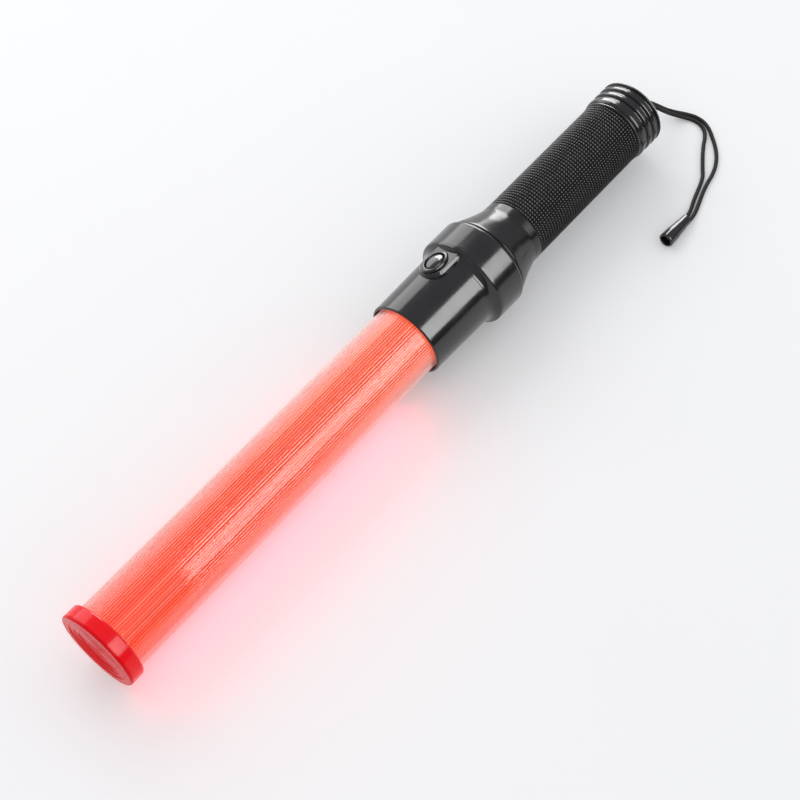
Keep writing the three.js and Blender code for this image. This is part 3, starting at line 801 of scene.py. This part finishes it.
def make_head():
    """The sleeve and collar, turned in one piece, and the pod that stands on the sleeve."""
    outline = [
        (226.6, 20.9, 0.3),
        (226.6, 21.8, 0.5),
        (227.2, 22.3, 0.5),
        (268.2, 22.9, 1.5),
        (270.8, 23.7, 1.2),
        (272.3, 25.4, 1.0),
        (273.1, 26.9, 0.9),
        (274.6, 27.2, 1.0),
        (291.2, 27.2, 1.2),
        (292.4, 26.0, 0.6),
        (292.5, 23.0, 0.3),
        (276.5, 23.0, 0.3),
        (276.5, 20.2, 0.3),
        (240.0, 20.2, 0.3),
        (240.0, 18.9, 0.3),
        (237.3, 18.9, 0.3),
        (237.3, 20.9, 0.3),
    ]
    head = turned("head_sleeve", outline, "baton", GLOSS)
    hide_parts("head_shell")
    pod_rows = [
        (24.6, -1.35),
        (24.6, -1.2),
        (24.45, -1.05),
        (23.2, -0.2),
        (23.0, -0.1),
        (22.7, 0.0),
        (21.8, 0.15),
        (21.0, 0.3),
        (20.2, 0.5),
        (19.4, 0.5),
        (19.4, -1.0),
    ]
    loops = [oval(22.9, 6.1, 4.6), oval(24.3, 6.1, 4.6), oval(24.6, 6.4, 4.9)]
    loops += [pod_loop(*row) for row in pod_rows]
    pod = skin("button_pod", loops, "baton", GLOSS, wrap=True)
    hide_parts("head_shell")


def make_button():
    bezel_rows = [
        (24.5, 6.3, 4.8),
        (25.6, 6.3, 4.8),
        (25.95, 6.4, 4.9),
        (26.1, 6.7, 5.1),
        (26.05, 7.2, 5.35),
        (25.8, 7.9, 5.7),
        (25.3, 8.5, 6.0),
        (24.5, 8.7, 6.1),
    ]
    bezel = skin("button_bezel", [oval(*row) for row in bezel_rows], "baton", GLOSS, wrap=True)
    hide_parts("button_ring")
    loops = [oval(24.6, *DOME_HALF), oval(DOME_BASE, *DOME_HALF)]
    for k in range(1, 12):
        angle = math.radians(7.5 * k)
        half_length, half_width = (half * math.cos(angle) for half in DOME_HALF)
        loops.append(oval(DOME_BASE + DOME_RISE * math.sin(angle), half_length, half_width))
    dome = skin("button_dome", loops, "button", BUTTON)
    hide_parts("push_button")


make_head()
make_button()

# ---------------------------------------------------------------- handle
KNURL_ROUND = 71
KNURL_ROWS = 44
KNURL_STEPS = 4
GRIP_WALL_R = 18
HANDLE_SIDES = KNURL_ROUND * KNURL_STEPS


def triangle(values):
    """A wave that rises from 0 to 1 and falls back over each whole number."""
    share = values % 1
    return np.minimum(share, 1 - share) * 2


def make_handle():
    """Cone and neck, then the squared grip with flat-shaded peaks, then the plain rim."""
    before = [
        (276.8, 17.5, 0),
        (276.8, 22.1, 0.2),
        (277.2, 22.4, 0.2),
        (292.9, 22.4, 0.1),
        (292.9, 25.0, 0.3),
        (293.4, 25.5, 0.5),
        (294.4, 25.3, 0.6),
        (304.0, 21.6, 3),
        (309.0, 20.1, 2),
        (312.0, 19.35, 1),
        (317.6, 19.2, 0.3),
        (318.0, 18.8, 0.1),
    ]
    after = [
        (405.9, 18.9, 0.1),
        (406.1, 19.5, 0.2),
        (406.8, 19.5, 0.3),
        (407.0, 18.9, 0.1),
        (407.0, 18.4, 0.1),
        (397.0, 18.4, 0.3),
        (396.2, 17.5, 0.3),
        (276.9, 17.5, 0),
    ]
    around = triangle(np.arange(HANDLE_SIDES) / KNURL_STEPS)
    loops = [circle(p.x, p.y, HANDLE_SIDES) for p in softened(before)]
    rows = KNURL_ROWS * KNURL_STEPS
    for k in range(rows + 1):
        along = triangle(k / KNURL_STEPS)
        peak = np.minimum(around, along)
        station = GRIP_START + (GRIP_END - GRIP_START) * k / rows
        loops.append(circle(station, GRIP_R - KNURL_HEIGHT * (1 - peak), HANDLE_SIDES))
    loops += [circle(p.x, p.y, HANDLE_SIDES) for p in softened(after)]
    handle = skin("knurled_handle", loops, "baton", SATIN, wrap=True)
    for face in handle.data.polygons:
        if at(GRIP_START) < face.center.x < at(GRIP_END):
            away = math.hypot(face.center.y, face.center.z - AXIS_Z)
            face.use_smooth = away < GRIP_WALL_R * MM
    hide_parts("handle")


make_handle()

# ---------------------------------------------------------------- tail cap
GROOVES = (412.8, 417.9, 422.8)
GROOVE_DEPTH = 1.5
TAIL_R = 20.2
THREAD_PITCH = 3
THREAD_STEPS = 96


def make_tail_cap():
    outline = [
        (397.6, 13.5, 0.3),
        (397.6, 16.9, 0.3),
        (398.0, 17.3, 0.3),
        (404.9, 17.3, 0.1),
        (404.9, 16.6, 0.1),
        (406.6, 16.6, 0.1),
        (406.6, 17.3, 0.1),
        (407.3, 17.3, 0.1),
        (407.3, 19.2, 0.2),
        (408.4, TAIL_R, 0.8),
    ]
    for groove in GROOVES:
        outline += [
            (groove - 1.35, TAIL_R, 0.8),
            (groove - 0.75, TAIL_R - GROOVE_DEPTH, 0.4),
            (groove + 0.75, TAIL_R - GROOVE_DEPTH, 0.4),
            (groove + 1.35, TAIL_R, 0.8),
        ]
    outline += [
        (424.7, 20.1, 1.0),
        (426.4, 18.7, 1.2),
        (427.0, 16.6, 0.8),
        (427.0, 4.1, 0.3),
        (421.5, 4.1, 0.3),
        (421.5, 13.5, 0.5),
    ]
    cap = turned("tail_cap_shell", outline, "cap", GLOSS)
    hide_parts("tail_cap")
    ridge = thread_ridge("tail_cap_thread", 398.5, 1.75, 17.05, 18.05, "cap")


def thread_ridge(name, start, turns, root, crest, body):
    """One helical ridge with tapered ends, winding towards the tail."""
    steps = round(turns * THREAD_STEPS)
    loops = []
    for k in range(steps + 1):
        share = k / steps
        taper = min(1, share * 12, (1 - share) * 12)
        angle = k * 2 * math.pi / THREAD_STEPS
        x = start + k * THREAD_PITCH / THREAD_STEPS
        top = root + (crest - root) * max(taper, 0.3)
        section = [(-0.65, root), (-0.4, top - 0.05), (-0.3, top)]
        section += [(0.3, top), (0.4, top - 0.05), (0.65, root)]
        along = np.array([at(x + offset) for offset, _ in section])
        away = np.array([radius * MM for _, radius in section])
        loops.append(
            np.stack([along, away * math.cos(angle), AXIS_Z + away * math.sin(angle)], axis=1)
        )
    return skin(name, loops, body, GLOSS)


def make_ferrule():
    outline = [
        (419.8, 2.8, 0.2),
        (419.8, 6.2, 0.3),
        (421.2, 6.2, 0.3),
        (421.2, 3.7, 0.2),
        (427.0, 3.7, 0.5),
        (427.0, 2.8, 0.5),
    ]
    ferrule = turned("strap_grommet", outline, "strap", SATIN, sides=64)
    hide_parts("strap_ferrule")


make_tail_cap()
make_ferrule()


# ---------------------------------------------------------------- floor and light
FLOOR_SIZE = 12


def make_floor():
    look = Look("pale_floor", (0.68, 0.683, 0.69), 0.85)
    look.speckled((0.677, 0.68, 0.688), (0.683, 0.686, 0.693), 6, 2)
    look.set("Specular IOR Level", 0.1)
    look.set("Emission Color", (0.985, 0.99, 1.0, 1))
    look.set("Emission Strength", 0.16)
    bpy.ops.mesh.primitive_plane_add(size=FLOOR_SIZE, location=(0, 0, 0))
    floor = bpy.context.object
    floor.name = "floor"
    floor.data.materials.append(look.material)


def softbox(name, centre, aim, width, height, radiance, colour=(1, 1, 1), mirrored=True):
    """A rectangular light facing a point; it shows either in reflections or as diffuse light."""
    lamp_data = bpy.data.lights.new(name, "AREA")
    lamp_data.shape = "RECTANGLE"
    lamp_data.size = width
    lamp_data.size_y = height
    lamp_data.color = colour
    lamp_data.energy = radiance * math.pi * width * height
    light = bpy.data.objects.new(name, lamp_data)
    bpy.context.scene.collection.objects.link(light)
    light.location = centre
    back = Vector(centre) - Vector(aim)
    light.rotation_euler = back.to_track_quat("Z", "Y").to_euler()
    light.visible_camera = False
    light.visible_transmission = False
    light.visible_glossy = mirrored
    light.visible_diffuse = not mirrored


def side_light(name, x_span, tilt_span, distance, radiance):
    """A softbox beside the baton, given by its span along X and its angles from straight up."""
    middle = math.radians(sum(tilt_span) / 2)
    half = math.radians((tilt_span[1] - tilt_span[0]) / 2)
    x = sum(x_span) / 2
    centre = (x, -math.sin(middle) * distance, AXIS_Z + math.cos(middle) * distance)
    height = 2 * distance * math.tan(half)
    softbox(name, centre, (x, 0, AXIS_Z), x_span[1] - x_span[0], height, radiance)


# Each softbox beside the baton: name, span along X, span of tilt, distance and radiance.
SIDE_LIGHTS = (
    ("key_softbox", (0.09, 0.66), (29, 68), 1.0, 7.5),
    ("tip_softbox", (-0.12, -0.01), (29, 66), 1.0, 13.0),
    ("back_softbox", (-0.5, 0.85), (-89, -48), 1.25, 2.8),
    ("far_softbox", (0.9, 2.0), (-87, -35), 1.25, 10.5),
)
GLOW_STATION = 106
GLOW_LENGTH = 0.195
GLOW_HEIGHT = 0.02
GLOW_COLOUR = (1.0, 0.07, 0.13)


def make_lights():
    """Softboxes to be reflected, a soft fill for the shadow, and the tube's light on the floor."""
    for row in SIDE_LIGHTS:
        side_light(*row)
    softbox("sky_fill", (0.3, 1.28, 1.15), (0, 0, 0), 1.4, 1.0, 2.1, mirrored=False)
    for side, radiance in ((-1, 3.6), (1, 0.9)):
        softbox(
            f"tube_glow_{side + 1}",
            (at(GLOW_STATION), side * 17 * MM, 14 * MM),
            (at(GLOW_STATION), side * 60 * MM, -14 * MM),
            GLOW_LENGTH,
            GLOW_HEIGHT,
            radiance,
            colour=GLOW_COLOUR,
            mirrored=False,
        )


# The studio is dark in reflections up to this tilt from straight up, on the -Y side.
DARK_TILT = (-1.28, -1.18)


def make_world():
    """Pale to the camera, even as a light and through the tube, and a dim studio in reflections."""
    world = bpy.data.worlds.new("studio")
    bpy.context.scene.world = world
    world.use_nodes = True
    nodes, links = world.node_tree.nodes, world.node_tree.links

    def background(colour, strength):
        node = nodes.new("ShaderNodeBackground")
        node.inputs["Color"].default_value = (*colour, 1)
        node.inputs["Strength"].default_value = strength
        return node

    def worked_out(operation, first, second):
        node = nodes.new("ShaderNodeMath")
        node.operation = operation
        for socket, value in enumerate((first, second)):
            if isinstance(value, (int, float)):
                node.inputs[socket].default_value = value
            else:
                links.new(value, node.inputs[socket])
        return node.outputs[0]

    def mixed(factor, first, second):
        node = nodes.new("ShaderNodeMixShader")
        links.new(factor, node.inputs["Fac"])
        links.new(first.outputs[0], node.inputs[1])
        links.new(second.outputs[0], node.inputs[2])
        return node

    direction = nodes.new("ShaderNodeSeparateXYZ")
    links.new(nodes.new("ShaderNodeTexCoord").outputs["Generated"], direction.inputs[0])
    tilt = worked_out("ARCTAN2", direction.outputs["Y"], direction.outputs["Z"])
    ramp = nodes.new("ShaderNodeMapRange")
    links.new(tilt, ramp.inputs["Value"])
    ramp.inputs["From Min"].default_value, ramp.inputs["From Max"].default_value = DARK_TILT
    path = nodes.new("ShaderNodeLightPath")
    mirrored = mixed(
        ramp.outputs["Result"],
        background((1, 1, 1), 0.08),
        background((0.95, 0.97, 1.0), 0.5),
    )
    even = background((0.985, 0.99, 1.0), 0.96)
    outside_tube = worked_out("LESS_THAN", path.outputs["Transmission Depth"], 0.5)
    reflected = worked_out("MULTIPLY", path.outputs["Is Glossy Ray"], outside_tube)
    lit = mixed(reflected, even, mirrored)
    pale = background((0.93, 0.935, 0.95), 1)
    seen = mixed(path.outputs["Is Camera Ray"], lit, pale)
    links.new(seen.outputs[0], nodes["World Output"].inputs["Surface"])


make_floor()
make_world()
make_lights()

view = bpy.context.scene.view_settings
view.view_transform = "Standard"
view.look = "None"
